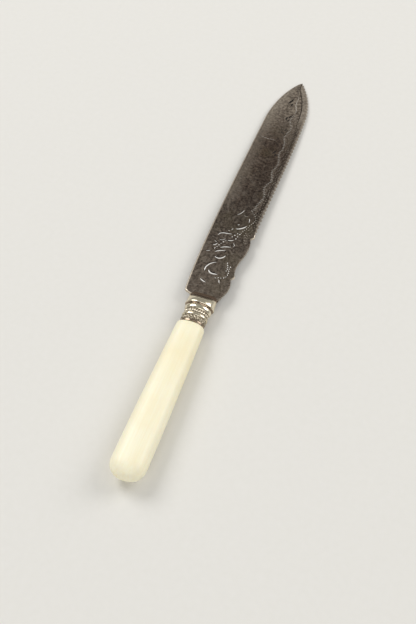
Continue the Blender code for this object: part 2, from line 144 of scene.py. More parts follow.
# Handle, mm.
HANDLE_FRONT_Y, HANDLE_BUTT_Y = -11.4, -97.0
HANDLE_FRONT_HALF_WIDTH, HANDLE_BUTT_HALF_WIDTH, HANDLE_SQUARENESS = 7.1, 8.4, 2.4
SPIGOT_FRONT_Y, SPIGOT_HALF_WIDTH, SPIGOT_HALF_THICK, SPIGOT_SQUARENESS = -1.2, 5.25, 3.6, 2.2
SHOULDER_RADIUS, SHOULDER_STEPS, GRIP_END_Y, GRIP_STEPS = 1.6, 12, -88.8, 40
# The dome stops just short of its pole, which leaves a small flat cap.
DOME_LENGTH, DOME_SQUARENESS, DOME_STEPS, DOME_POLE = 8.06, 2.3, 24, 24.15

# Engraving on the upper face, mm.  Strokes are (width, points); the rest are points along lines.
BRIGHT_STROKES = (
    (0.55, ((-1.7, 64.8), (-0.6, 66), (0.2, 67.4), (1, 69.2))),
    (0.29, ((5.2, 64.1), (5.7, 62.8), (5.7, 61.3))),
    (1.35, ((0.6, 55), (2.2, 55.7), (3.8, 56.8), (5.5, 58.6))),
    (0.95, ((-6.8, 47.8), (-6.2, 49.3), (-4.9, 50.2), (-2.6, 50.6), (0, 50.9))),
    (0.95, ((-0.8, 46), (0.6, 46.4), (2.1, 47))),
    (0.42, ((-5, 45.3), (-3.6, 45.3), (-2.2, 46.7))),
    (0.25, ((3.3, 42.3), (3.6, 43.4), (2.8, 45))),
    (0.50, ((-7.2, 43.6), (-6.4, 43.4), (-5.8, 43.1))),
    (0.85, ((-7.1, 40.5), (-6, 41.2), (-5.2, 42.3))),
    (0.52, ((-9, 35.7), (-7.9, 36.1), (-6.9, 36.6))),
    (1.10, ((-2.9, 40.1), (-1.2, 41.2), (0.5, 41.8), (2.3, 42))),
    (1.05, ((-4.7, 36.5), (-3.4, 37.6), (-1.8, 38.4), (0.4, 39))),
    (1.30, ((-3.5, 33.6), (-2.2, 33.1), (-0.6, 33.4), (0.7, 34.4), (1.5, 35.7))),
    (1.02, ((-1.3, 30.1), (-2.8, 29.4), (-4.3, 28.1), (-5.3, 26.3), (-5.7, 24.4), (-5.4, 22.9))),
    (1.42, ((-3.5, 24.1), (-2.5, 22.9), (-1, 22.5), (0.4, 22.6), (1.7, 22.5))),
    (1.05, ((-5.6, 17.4), (-4.2, 16.6), (-2.3, 15.9))),
    (0.30, ((3.4, 19.5), (3.8, 18.6), (4.3, 17.4))),
    (0.75, ((0.6, 58), (1.2, 58.3), (1.7, 58.6))),
    (0.52, ((-1.1, 53.5), (-1, 54.2), (-0.8, 54.8))),
    (0.45, ((-2.8, 52.5), (-2.3, 52.8), (-1.8, 53.1))),
)
DULL_STROKES = (
    (0.24, ((4.9, 151.4), (5, 154), (4.4, 157), (3.4, 160), (3, 163), (3.2, 166), (2.6, 169))),
    (0.28, ((-9.5, 128.4), (-8, 128.1), (-6, 127.6), (-4, 127.2), (-1.6, 127.4), (0.6, 127))),
    (0.28, ((1.6, 65.5), (2.8, 65.2), (4, 65.5))),
)
DARK_STROKES = (
    (1.25, ((-1.4, 160.2), (-0.5, 162.2), (0.7, 165.3))),
    (1.30, ((0.9, 158.9), (1, 160.2), (1.2, 161.3))),
    (1.15, ((1.2, 145.9), (1.4, 147.4), (1.6, 148.9))),
    (1.05, ((2.4, 148.1), (3.1, 149.5), (3.8, 151))),
    (0.90, ((2.55, 144.85), (2.85, 145.95), (3.05, 146.95))),
    (0.95, ((2.05, 115.92), (2.95, 117.62), (3.95, 119.62))),
    (1.00, ((3.8, 114.2), (4, 115.2), (4.2, 116.4))),
    (0.50, ((4.9, 164), (5.4, 163.2), (6, 162.5))),
    (0.35, ((-0.8, 174.8), (0.4, 173.6), (1.5, 171.8), (2.6, 169.6))),
    (0.50, ((0.9, 138.4), (1.6, 137.4), (2.3, 136.2))),
    (0.50, ((1.9, 138.6), (2.7, 137.4), (3.4, 136))),
    (0.50, ((2.9, 138.6), (3.6, 137.5), (4.3, 136.2))),
    (0.50, ((3.78, 138.82), (4.48, 137.72), (5.08, 136.42))),
    (0.50, ((1.2, 136.2), (1.9, 135.1), (2.6, 133.9))),
    (0.50, ((2.3, 135.6), (3, 134.5), (3.7, 133.2))),
)
BEADED_STEMS = (
    ((3.9, 51.9), (3.4, 50.2), (2.9, 48.3)),
    ((2.7, 52.1), (1.8, 50.8), (0.7, 49)),
    ((1.4, 20.2), (3, 20.8), (4.6, 21.1), (6, 22.2), (6.5, 24), (6.4, 26), (6.1, 27.6), (6.3, 29.2)),
    ((5, 26.2), (5.2, 27.8), (4.9, 29.2), (4, 31.2)),
    ((-5.3, 38.7), (-3.9, 41.8), (-2.7, 44.1), (-1.7, 45.4)),
)
WRIGGLE_LINE = (
    (4.8, 70), (5.8, 72), (5.8, 74), (6.3, 76), (6.9, 78), (7.6, 80), (7.7, 82), (7.3, 84), (6.5, 86),
    (5.9, 88), (6.1, 90), (6.7, 92), (7.7, 94), (7.9, 95.5), (7.6, 97), (7, 99), (6.3, 101), (6.2, 103),
    (6.9, 105), (7.4, 107), (7.6, 109), (7.3, 111), (6.4, 114.5), (5.8, 116.5), (5.7, 118.5), (6.4, 120.2),
    (6.6, 122), (6.4, 124), (6.3, 125.8), (5.9, 127.6), (5.2, 129.5), (4.6, 131.2), (4.8, 133), (5.3, 135),
    (5.9, 137.5), (6, 140), (5.6, 142), (4.8, 143.6), (4.1, 145.4), (3.9, 147.2), (4.4, 149.4), (4.9, 151.2),
)
STEM_LINE = (
    (5.6, 68.9), (6.4, 68.2), (7.4, 67.2), (8.4, 65.4), (8.8, 64), (8.4, 62.6), (7.6, 61), (6.9, 59.4),
    (6.4, 57.6), (5.4, 55.6), (4.7, 53.9), (4.3, 53),
)
STIPPLE_INSIDE = (
    (7.4, 46.7), (6.8, 49.8), (6, 53), (6.9, 56), (8, 59), (9.2, 62), (9.6, 64), (9, 66), (7.2, 69),
)
# One nick is (length, width, depth), a row of them (pitch, lean, swing to either side in turn).
WRIGGLE_NICK, WRIGGLE_ROW = (1.90, 0.66, 0.14), (1.30, -1.15, 0.08)
STEM_NICK, STEM_ROW = (1.10, 0.66, 0.14), (1.38, 1.15, 0.25)
BEAD_NICK, BEAD_ROW = (1.05, 0.78, 0.16), (1.28, 0.0, 0.5)
# Lift of a nick tool's rim above the face, and the upright share of a face's normal below which a cut wall
# is painted black as shade.
NICK_LIFT, SHADED_WALL_Z = 0.03, 0.85
# Plan direction towards the key lamp, where a cut's steep wall lies and is painted dark as shade, and the
# section of a cut about one unit wide.
SHADED_WALL_SIDE = (-0.9, 0.43)
CUT_OUTLINE, CUT_STEP = ((-0.60, -0.08), (-0.24, 0.22), (0.70, -0.08)), 0.3
CUT_SWELL, CUT_LEAST = 0.6, 0.1

# Punched ground.  The dots are coarser and sparser than real punching, which is too fine to show.
DOT, DOTS_APART, DOT_DENSITY, DOT_SEED = (0.72, 0.72, 0.07, 6), 1.12, 2.6, 7
DOT_LEAST, DOT_MOST = 0.55, 1.15
STIPPLE_COLUMNS, STIPPLE_ROW = 8, 0.9
WRIGGLE_CLEAR, EDGE_CLEAR, HEEL_CLEAR = 0.7, 1.3, 1.2
HEEL_SIDE = (SECOND_SPUR, FIRST_FOOT, FIRST_NOTCH, EDGE_START)

# Tarnish over dark plate: (feature width mm, detail, roughness, from, to, share, colour).
# The first is fine speckle, drawn coarser than real so that it shows, then blotches, then an olive bloom.
TARNISH = (
    (1.15, 3, 0.75, 0.36, 0.66, 1.0, "#6b5f54"),
    (2.4, 5, 0.75, 0.49, 0.68, 0.55, "#8a8277"),
    (15, 3, 0.5, 0.50, 0.74, 0.35, "#5f583f"),
)
# Metres along the knife as it lies: where a warm tint grows, and paler, mottled stretches as (from, to,
# share).
WARM_SPAN, PALE_SPANS = (0.02, 0.07), ((0.082, 0.114, 0.75), (0.022, -0.024, 0.16))

# Kinds of node used often.
NOISE, RANGE, MIX, MATH = "ShaderNodeTexNoise", "ShaderNodeMapRange", "ShaderNodeMix", "ShaderNodeMath"

# Photo's view: camera and the point it looks at, metres.  Lamps are (name, place, size, watts).
CAMERA_AT, CAMERA_TARGET, LENS = (0.086003, -0.274001, 0.34969), (0.003376, -0.039628, 0.0), 50
LAMPS = (
    ("key", (-1.50, 0.70, 1.70), 1.2, 26.8),
    ("side", (1.30, 1.20, 1.20), 1.24, 18.6),
    ("front", (0.30, -1.70, 1.20), 1.2, 11.4),
)
SURROUND, SURROUND_STRENGTH, BOARD_HALF_SIZE = "#f4f3f0", 0.4, 3


def linear(hex_colour):
    """An sRGB hex colour as the linear RGBA held by shader sockets."""
    parts = [int(hex_colour[i:i + 2], 16) / 255 for i in (1, 3, 5)]
    return (*[c / 12.92 if c <= 0.04045 else ((c + 0.055) / 1.055) ** 2.4 for c in parts], 1.0)


def per(width):
    """The texture scale whose features are that many millimetres wide."""
    return 1 / (width * MM)


def set_inputs(tree, node, inputs):
    """Set a node's inputs, by name or index, to values, to sockets or to the live output of other nodes.

    Map Range has its range at 1 and 2 and its result at 3 and 4; a Mix of colours has its factor at 0 and
    the colours at 6 and 7.
    """
    for socket, value in inputs.items():
        if isinstance(value, bpy.types.Node):
            value = next(output for output in value.outputs if output.enabled)
        if isinstance(value, bpy.types.NodeSocket):
            tree.links.new(value, node.inputs[socket])
        else:
            node.inputs[socket].default_value = value


def add_node(tree, kind, inputs=None, **settings):
    """Add a node with its properties and its inputs."""
    node = tree.nodes.new(kind)
    for name, value in settings.items():
        setattr(node, name, value)
    set_inputs(tree, node, inputs or {})
    return node


def new_material(name):
    """A node material, with its tree, its principled shader and its object coordinates."""
    material = bpy.data.materials.new(name)
    material.use_nodes = True
    tree = material.node_tree
    place = add_node(tree, "ShaderNodeTexCoord").outputs["Object"]
    return material, tree, tree.nodes["Principled BSDF"], place


def tarnished_plate():
    """Silver plate gone dull: grey-brown, speckled, blotched, paler at heel and tip, with painted highlights
    at its edges, painted sheen and shade, and tarnish.
    """
    material, tree, shader, place = new_material("tarnished_silver_plate")
    plate, noises = linear("#271f1a"), []
    for width, detail, roughness, low, high, share, colour in TARNISH:
        noises.append(add_node(tree, NOISE, {"Vector": place, "Scale": per(width), "Detail": detail,
                                             "Roughness": roughness}))
        cover = add_node(tree, RANGE, {"Value": noises[-1], 1: low, 2: high, 4: share})
        plate = add_node(tree, MIX, {0: cover, 6: plate, 7: linear(colour)}, data_type="RGBA")
    run = add_node(tree, "ShaderNodeSeparateXYZ", {"Vector": place}).outputs["Y"]
    warm = add_node(tree, RANGE, {"Value": run, 1: WARM_SPAN[0], 2: WARM_SPAN[1]})
    plate = add_node(tree, MIX, {0: warm, 6: plate, 7: linear("#fff5f0")}, data_type="RGBA",
                     blend_type="MULTIPLY")
    mottle = add_node(tree, NOISE, {"Vector": place, "Scale": per(1.3), "Detail": 4, "Roughness": 0.7})
    cloud = add_node(tree, RANGE, {"Value": mottle, 1: 0.40, 2: 0.60})
    pale_mottle = add_node(tree, MIX, {0: cloud, 6: linear("#62584e"), 7: linear("#b7aa99")}, data_type="RGBA")
    for low, high, share in PALE_SPANS:
        paler = add_node(tree, RANGE, {"Value": run, 1: low, 2: high, 4: share})
        plate = add_node(tree, MIX, {0: paler, 6: plate, 7: pale_mottle}, data_type="RGBA")
    wear_and_painted_light = add_node(tree, "ShaderNodeAttribute", attribute_name="wear_and_painted_light").outputs["Fac"]
    # Values above 0 mix in a pale colour as painted highlights and sheen, values below 0 a dark one as
    # tarnish and painted shade.
    for full, colour in ((1.0, "#f3e7d4"), (-1.0, "#241d18")):
        worn = add_node(tree, RANGE, {"Value": wear_and_painted_light, 1: 0.0, 2: full})
        plate = add_node(tree, MIX, {0: worn, 6: plate, 7: linear(colour)}, data_type="RGBA")
    # Polishing scratches along the blade, also drawn coarser than real.
    stretch = add_node(tree, "ShaderNodeMapping", {"Vector": place, "Scale": (per(0.25), per(9), per(1))})
    scratches = add_node(tree, NOISE, {"Vector": stretch, "Scale": 1.0, "Detail": 3})
    bump = add_node(tree, "ShaderNodeBump", {"Strength": 0.25, "Distance": 0.00002, "Height": scratches})
    gloss = add_node(tree, RANGE, {"Value": noises[0], 3: 0.34, 4: 0.52})
    set_inputs(tree, shader, {"Base Color": plate, "Roughness": gloss, "Normal": bump, "Metallic": 0.85})
    return material


def silver_plate(name, light, shade, roughness, metallic=1.0, cloud_width=2.5):
    """Silver, a little clouded, brown where its point value is below zero: tarnish, and a painted brown
    reflection in the bolster's cove.
    """
    material, tree, shader, place = new_material(name)
    cloud = add_node(tree, NOISE, {"Vector": place, "Scale": per(cloud_width), "Detail": 4})
    colour = add_node(tree, MIX, {0: cloud, 6: linear(light), 7: linear(shade)}, data_type="RGBA")
    wear_and_painted_light = add_node(tree, "ShaderNodeAttribute", attribute_name="wear_and_painted_light").outputs["Fac"]
    brown = add_node(tree, RANGE, {"Value": wear_and_painted_light, 1: 0.0, 2: -1.0})
    colour = add_node(tree, MIX, {0: brown, 6: colour, 7: linear("#6b4d3c")}, data_type="RGBA")
    gloss = add_node(tree, RANGE, {"Value": cloud, 3: roughness, 4: roughness + 0.10})
    set_inputs(tree, shader, {"Base Color": colour, "Roughness": gloss, "Metallic": metallic})
    return material


def ivory_celluloid():
    """Ivory-coloured celluloid: fine straight grain, yellowed in places, satin from use."""
    material, tree, shader, place = new_material("ivory_celluloid")
    stretch = add_node(tree, "ShaderNodeMapping", {"Vector": place, "Scale": (per(0.8), per(40), per(0.8))})
    grain = add_node(tree, NOISE, {"Vector": stretch, "Scale": 1.0, "Detail": 2})
    streak = add_node(tree, RANGE, {"Value": grain, 1: 0.35, 2: 0.70})
    colour = add_node(tree, MIX, {0: streak, 6: linear("#fdf7dc"), 7: linear("#fbf2d2")}, data_type="RGBA")
    stain = add_node(tree, NOISE, {"Vector": place, "Scale": per(22), "Detail": 3})
    yellowed = add_node(tree, RANGE, {"Value": stain, 1: 0.45, 2: 0.75, 4: 0.6})
    colour = add_node(tree, MIX, {0: yellowed, 6: colour, 7: linear("#f6e9c0")}, data_type="RGBA")
    gloss = add_node(tree, RANGE, {"Value": stain, 3: 0.36, 4: 0.50})
    set_inputs(tree, shader, {"Base Color": colour, "Roughness": gloss, "Subsurface Weight": 0.12,
                              "Subsurface Radius": (0.0012, 0.0009, 0.0005)})
    return material


def mottled(name, first, second, width, detail, roughness, metallic=0.0):
    """A dull material that wavers between two colours."""
    material, tree, shader, place = new_material(name)
    waver = add_node(tree, NOISE, {"Vector": place, "Scale": per(width), "Detail": detail})
    colour = add_node(tree, MIX, {0: waver, 6: linear(first), 7: linear(second)}, data_type="RGBA")
    set_inputs(tree, shader, {"Base Color": colour, "Roughness": roughness, "Metallic": metallic})
    return material


def curve_points(start, handles, end, steps):
    """Points along one curve of the outline, its end left out."""
    knots = [Vector((*point, 0)) for point in (start, *handles, end)]
    return [(p.x, p.y) for p in interpolate_bezier(*knots, steps + 1)[:-1]]


def along(points, height):
    """The first coordinate where a chain of points, rising in the second, passes a height."""
    height = min(max(height, points[0][1]), points[-1][1])
    a, b = next(pair for pair in zip(points, points[1:]) if height <= pair[1][1])
    share = (height - a[1]) / max(b[1] - a[1], 1e-9)
    return a[0] + (b[0] - a[0]) * share


def smooth_step(value, low, high):
    """0 below low, 1 above high, eased between."""
    share = min(max((value - low) / (high - low), 0), 1)
    return share * share * (3 - 2 * share)


SPINE = [ROOT_LEFT, HEEL_CHAMFER, *curve_points(HEEL_CORNER, SPINE_BOW, SPINE_SHOULDER, SPINE_STEPS),
         *curve_points(SPINE_SHOULDER, SPINE_POINT, TIP, POINT_STEPS), TIP]
EDGE = [*curve_points(EDGE_START, EDGE_BOW, EDGE_SHOULDER, EDGE_STEPS),
        *curve_points(EDGE_SHOULDER, EDGE_POINT, TIP, POINT_STEPS), TIP]


def toothed_edge():
    """Pairs along the edge, start to tip: a point on the rounded teeth and the same point before cutting."""
    lengths = [0.0]
    for a, b in zip(EDGE, EDGE[1:]):
        lengths.append(lengths[-1] + math.dist(a, b))
    teeth = round(lengths[-1] / TOOTH_PITCH)
    xs, ys = ([(p[i], length) for p, length in zip(EDGE, lengths)] for i in (0, 1))
    points = []
    for step in range(teeth * TOOTH_STEPS + 1):
        at = lengths[-1] * step / (teeth * TOOTH_STEPS)
        x, y = along(xs, at), along(ys, at)
        behind, ahead = max(at - TANGENT_REACH, 0), min(at + TANGENT_REACH, lengths[-1])
        run = Vector([along(chain, ahead) - along(chain, behind) for chain in (xs, ys)]).normalized()
        cut = TOOTH_DEPTH * (0.5 - 0.5 * math.cos(math.tau * step / TOOTH_STEPS)) ** TOOTH_FULLNESS
        points.append(((x - run.y * cut, y + run.x * cut), (x, y)))
    return points


def edge_chain():
    """The blade's edge side from root to tip: two spurred ogee scallops, then the teeth."""
    rise = (SECOND_FOOT[0] - ROOT_RIGHT[0]) / (SECOND_FOOT[1] - ROOT_RIGHT[1])
    root = [(ROOT_RIGHT[0] + (y - ROOT_RIGHT[1]) * rise, y) for y in ROOT_STATIONS]
    heel = [*root, *curve_points(SECOND_FOOT, SECOND_LOBE[::-1], SECOND_NOTCH, LOBE_STEPS), SECOND_NOTCH,
            *curve_points(SECOND_SPUR, HOLLOW[::-1], FIRST_FOOT, HOLLOW_STEPS),
            *curve_points(FIRST_FOOT, FIRST_LOBE[::-1], FIRST_NOTCH, LOBE_STEPS), FIRST_NOTCH, FIRST_SPUR]
    return [(point, point) for point in heel] + toothed_edge()


def ground_bevel(y):
    """Width and half edge of the bevel at that height, and how far it has grown from the first spur."""
    ground = smooth_step(y, FIRST_SPUR[1], FIRST_SPUR[1] + GROUND_RUN_OUT)
    return (SOFT_EDGE + (GROUND_WIDTH - SOFT_EDGE) * ground,
            SOFT_HALF_EDGE + (GROUND_HALF_EDGE - SOFT_HALF_EDGE) * ground, ground)


def blade_section(edge_point, uncut):
    """Upper half of one cross-section, spine to edge: (x, y, z, painted light and wear)."""
    y = edge_point[1]
    spine_point = Vector(TIP) if uncut == TIP else Vector((along(SPINE, y), y))
    across = Vector(edge_point) - spine_point
    width, whole = across.length, (Vector(uncut) - spine_point).length
    fit = min(1, whole / NARROW_WIDTH)
    bevel, half_edge, ground = ground_bevel(y)
    bevel *= fit
    groove = smooth_step(y, *GROOVE_SPAN)
    inner, gap = whole - bevel, min(SHOULDER_GAP * fit, SHOULDER_SHARE * bevel)
    first, last, outer = fit * SPINE_ROUND[-1][0], inner - gap, inner + gap
    slope = (HALF_THICK - half_edge) / max(bevel, 1e-6)
    glint = HEEL_GLINT if y < HEEL_CORNER[1] else 0.0
    spur_glint = max(1 - min(abs(y - at) for at in (SECOND_SPUR[1], FIRST_SPUR[1])) / SPUR_GLINT_REACH, 0)
    # Painted highlight near the tip, painted sheen by the spine and painted shade in the middle of the face.
    tip_highlight = smooth_step(y, *TIP_HIGHLIGHT_SPAN)
    sheen, shade = (smooth_step(y, *span) * (1 - tip_highlight) for span in (SPINE_SHEEN, MIDDLE_SHADE))
    marks = [(fit * at, z, max(painted_light_and_wear, glint)) for at, z, painted_light_and_wear in SPINE_ROUND]
    for share, tip, middle in FACE_PAINTED_LIGHT:
        painted_light_and_wear = tip * tip_highlight + middle * (sheen if middle > 0 else shade)
        marks.append((first + (last - first) * share, HALF_THICK, painted_light_and_wear))
    floor, stain = HALF_THICK - GROOVE_DEPTH * groove, GROOVE_TARNISH * groove
    marks += [(last, HALF_THICK, 0), (inner - gap * GROOVE_FLOOR, floor, stain),
              (inner + gap * GROOVE_FLOOR, floor - slope * gap * GROOVE_FLOOR, stain)]
    # Painted shade on the ground bevel, fading towards the tip.
    bevel_shade = BEVEL_PAINTED_SHADE * ground * (1 - groove)
    for share, tip, cut, tooth_glint, shaded in BEVEL_PAINTED_LIGHT:
        at = outer + (width - outer) * share
        painted_light_and_wear = tip * groove + cut * ground + tooth_glint + bevel_shade * shaded
        marks.append((at, HALF_THICK - slope * (at - inner), max(painted_light_and_wear, spur_glint) if spur_glint else painted_light_and_wear))
    way = across / width if width > 1e-6 else Vector((1, 0))
    top = [half_edge + TIP_SLOPE * (whole - at) if whole < TIP_WIDTH else HALF_THICK for at, z, painted_light_and_wear in marks]
    return [(spine_point.x + way.x * at, spine_point.y + way.y * at, min(z, limit), painted_light_and_wear)
            for (at, z, painted_light_and_wear), limit in zip(marks, top)]


def skin(mesh, near, far):
    """Quads between two closed rows of points."""
    for i in range(len(near)):
        j = (i + 1) % len(near)
        mesh.faces.new((near[i], far[i], far[j], near[j]))


def add_tang(mesh):
    """Flat tang behind the blade root, tapered to a blunt point."""
    outline = [(TANG_HALF_WIDTH, TANG_FRONT_Y), (TANG_HALF_WIDTH, TANG_TAPER_Y),
               (TANG_END_HALF_WIDTH, TANG_END_Y + TANG_POINT_LENGTH), (TANG_POINT_HALF_WIDTH, TANG_END_Y)]
    outline += [(-x, y) for x, y in reversed(outline)]
    top, bottom = ([mesh.verts.new((x, y, z)) for x, y in outline] for z in (HALF_THICK, -HALF_THICK))
    mesh.faces.new(reversed(top))
    mesh.faces.new(bottom)
    skin(mesh, bottom, top)


def blade_mesh():
    """Whole blade, lofted along its stations, with a value of painted light and wear at each point."""
    mesh = bmesh.new()
    wear_and_painted_light = mesh.verts.layers.float.new("wear_and_painted_light")
    rings = []
    for edge_point, uncut in edge_chain():
        upper = blade_section(edge_point, uncut)
        ring = []
        for x, y, z, value in upper + [(x, y, -z, value) for x, y, z, value in reversed(upper)]:
            vertex = mesh.verts.new((x, y, z))
            vertex[wear_and_painted_light] = value
            ring.append(vertex)
        rings.append(ring)
    for near, far in zip(rings, rings[1:]):
        skin(mesh, near, far)
    mesh.faces.new(rings[0])
    bmesh.ops.remove_doubles(mesh, verts=mesh.verts[:], dist=WELD)
    return finished_mesh("blade_plate", mesh)


def finished_mesh(name, mesh, sharp=SHARP_ANGLE):
    """A bmesh as a plain mesh: outward faces, smooth with sharp edges kept."""
    bmesh.ops.recalc_face_normals(mesh, faces=mesh.faces[:])
    for face in mesh.faces:
        face.smooth = True
    for edge in mesh.edges:
        if len(edge.link_faces) == 2:
            one, other = edge.link_faces
            edge.smooth = one.material_index == other.material_index and edge.calc_face_angle() < sharp
    return plain_mesh(name, mesh)


def plain_mesh(name, mesh):
    """A bmesh as a mesh; the bmesh is freed."""
    data = bpy.data.meshes.new(name)
    mesh.to_mesh(data)
    mesh.free()
    return data


def oval_ring(y, half_width, half_thick, squareness=2.0):
    """Points round a squared oval across the knife, a hair inside the solids."""
    half_width, half_thick = half_width * SNUG, half_thick * SNUG
    ring = []
    for i in range(SIDES):
        c, s = math.cos(math.tau * (i + 0.5) / SIDES), math.sin(math.tau * (i + 0.5) / SIDES)
        ring.append((math.copysign(abs(c) ** (2 / squareness), c) * half_width, y,
                     math.copysign(abs(s) ** (2 / squareness), s) * half_thick))
    return ring


def loft(name, rings, wear_and_painted_light, closed=False):
    """A skin through the rings, each with a value of painted light and wear: capped, or closed on itself
    like a tube wall.
    """
    mesh = bmesh.new()
    layer = mesh.verts.layers.float.new("wear_and_painted_light")
    loops = [[mesh.verts.new(point) for point in ring] for ring in rings]
    for loop, value in zip(loops, wear_and_painted_light):
        for vertex in loop:
            vertex[layer] = value
    for near, far in zip(loops, loops[1:] + loops[:1] if closed else loops[1:]):
        skin(mesh, near, far)
    if not closed:
        mesh.faces.new(loops[0])
        mesh.faces.new(loops[-1])
    return finished_mesh(name, mesh)


def bolster_rings():
    """The bolster from its back rim over the crown and down the cove to its lips."""
    rim_half_thick = RIM_HALF_WIDTH * OVAL
    rings = [oval_ring(0, RIM_HALF_WIDTH - RIM_ROUND, rim_half_thick - RIM_ROUND),
             oval_ring(RIM_BREAK_Y, RIM_HALF_WIDTH - RIM_BREAK, rim_half_thick - RIM_BREAK),
             oval_ring(RIM_ROUND, RIM_HALF_WIDTH, rim_half_thick)]
    for i in range(CROWN_STEPS + 1):
        y = RIM_Y + (LIP_Y - RIM_Y) * math.sin(math.pi / 2 * i / CROWN_STEPS)
        share = (y - RIM_Y) / (LIP_Y - RIM_Y)
        if y < CROWN_END_Y:
            s = (y - RIM_Y) / (CROWN_END_Y - RIM_Y)
            thick = rim_half_thick - (rim_half_thick - CROWN_END_HALF_THICK) * s * s
        else:
            s = (y - CROWN_END_Y) / (LIP_Y - CROWN_END_Y)
            thick = LIP_HALF_THICK + (CROWN_END_HALF_THICK - LIP_HALF_THICK) * (1 - s) ** 2
        if y < CHEEK_Y:
            width = RIM_HALF_WIDTH + (CHEEK_HALF_WIDTH - RIM_HALF_WIDTH) * (y - RIM_Y) / (CHEEK_Y - RIM_Y)
        else:
            s = (y - CHEEK_Y) / (LIP_Y - CHEEK_Y)
            width = LIP_HALF_WIDTH + (CHEEK_HALF_WIDTH - LIP_HALF_WIDTH) * math.sqrt(max(1 - s * s, 0))
        rings.append(oval_ring(y, width, thick, 2 + (LIP_SQUARENESS - 2) * share ** 3))
    return rings


def box_object(name, low, high):
    """A plain box used as a cutter."""
    mesh = bmesh.new()
    bmesh.ops.create_cube(mesh, size=1)
    for vertex in mesh.verts:
        vertex.co = Vector((a + (b - a) * (c + 0.5) for a, b, c in zip(low, high, vertex.co)))
    return scene_object(name, finished_mesh(name, mesh))


def scene_object(name, data):
    """An object in the scene for a mesh, curve, lamp or camera."""
    thing = bpy.data.objects.new(name, data)
    bpy.context.scene.collection.objects.link(thing)
    return thing


def evaluated_mesh(thing):
    """The mesh an object has once its modifiers have run; the object itself is removed."""
    data = bpy.data.meshes.new_from_object(thing.evaluated_get(bpy.context.evaluated_depsgraph_get()))
    bpy.data.objects.remove(thing)
    return data


def carved(thing, cutters, crossing=None):
    """The mesh of an object less its cutters, which leave their materials on the cuts.

    Only the cutter named as crossing may overlap itself.  The object and the cutters are removed.
    """
    for cutter in cutters:
        cut = thing.modifiers.new(cutter.name, "BOOLEAN")
        cut.operation, cut.solver, cut.object = "DIFFERENCE", "EXACT", cutter
        cut.material_mode, cut.use_self = "TRANSFER", cutter.name == crossing
    data = evaluated_mesh(thing)
    for cutter in cutters:
        bpy.data.objects.remove(cutter)
    return data


def bolster_mesh():
    """Bolster casting with the slots for the heel and the tang cut out."""
    rings = bolster_rings()
    wear_and_painted_light = [COVE_PAINTED_REFLECTION * smooth_step(ring[0][1], *COVE_SPAN) + BACK_TARNISH * (ring[0][1] < BACK_Y)
            for ring in rings]
    body = scene_object("bolster_body", loft("bolster_body", rings, wear_and_painted_light))
    heel = box_object("heel_slot", (-SLOT_REACH, HEEL_SLOT_Y, -SLOT_HALF_THICK),
                      (SLOT_REACH, SLOT_FRONT_Y, SLOT_HALF_THICK))
    tang = box_object("tang_slot", (-TANG_SLOT_HALF_WIDTH, SLOT_BACK_Y, -SLOT_HALF_THICK),
                      (TANG_SLOT_HALF_WIDTH, SLOT_FRONT_Y, SLOT_HALF_THICK))
    return carved(body, (heel, tang))


def bead_profile(y, half_length, root, height, steps):
    """Half-round moulding in the ferrule's outline: (half width, y) from front to back."""
    return [(root + height * math.sin(math.pi * i / steps), y + half_length * math.cos(math.pi * i / steps))
            for i in range(steps + 1)]


def ferrule_mesh(ground_slot):
    """Thin stamped shell: collar, ring and foot mouldings, with sunk bands for the ornament between."""
    outer = [*FERRULE_LIP, *bead_profile(*COLLAR)[COLLAR_COVERED:], *LEAF_VALLEY, *bead_profile(*FINE_BEAD),
             *bead_profile(*BROAD_BEAD), *SKIRT, *bead_profile(*FOOT_BEAD), *FERRULE_END]
    end_half_width, end_y = FERRULE_END[-1]
    outline = [*outer, (end_half_width - FERRULE_WALL, end_y), *FERRULE_BORE]
    rings = [oval_ring(y, r, r * OVAL) for r, y in outline]
    wear_and_painted_light = [VALLEY_TARNISH * (r < VALLEY_HALF_WIDTH and y < COLLAR[0] or y < FOOT_Y)
            + SOLDER_TARNISH * (y > SOLDER_Y) for r, y in outline]
    data = loft("ferrule_shell", rings, wear_and_painted_light, closed=True)
    for face in data.polygons:
        in_band = any(low < face.center.y < high for low, high in ORNAMENT_BANDS)
        face.material_index = ground_slot if in_band else 0
    return data


def handle_half_width(y):
    """Half width of the grip, swelling from the front to the butt."""
    share = (HANDLE_FRONT_Y - y) / (HANDLE_FRONT_Y - HANDLE_BUTT_Y)
    return (HANDLE_FRONT_HALF_WIDTH
            + (HANDLE_BUTT_HALF_WIDTH - HANDLE_FRONT_HALF_WIDTH) * math.sin(share * math.pi / 2))


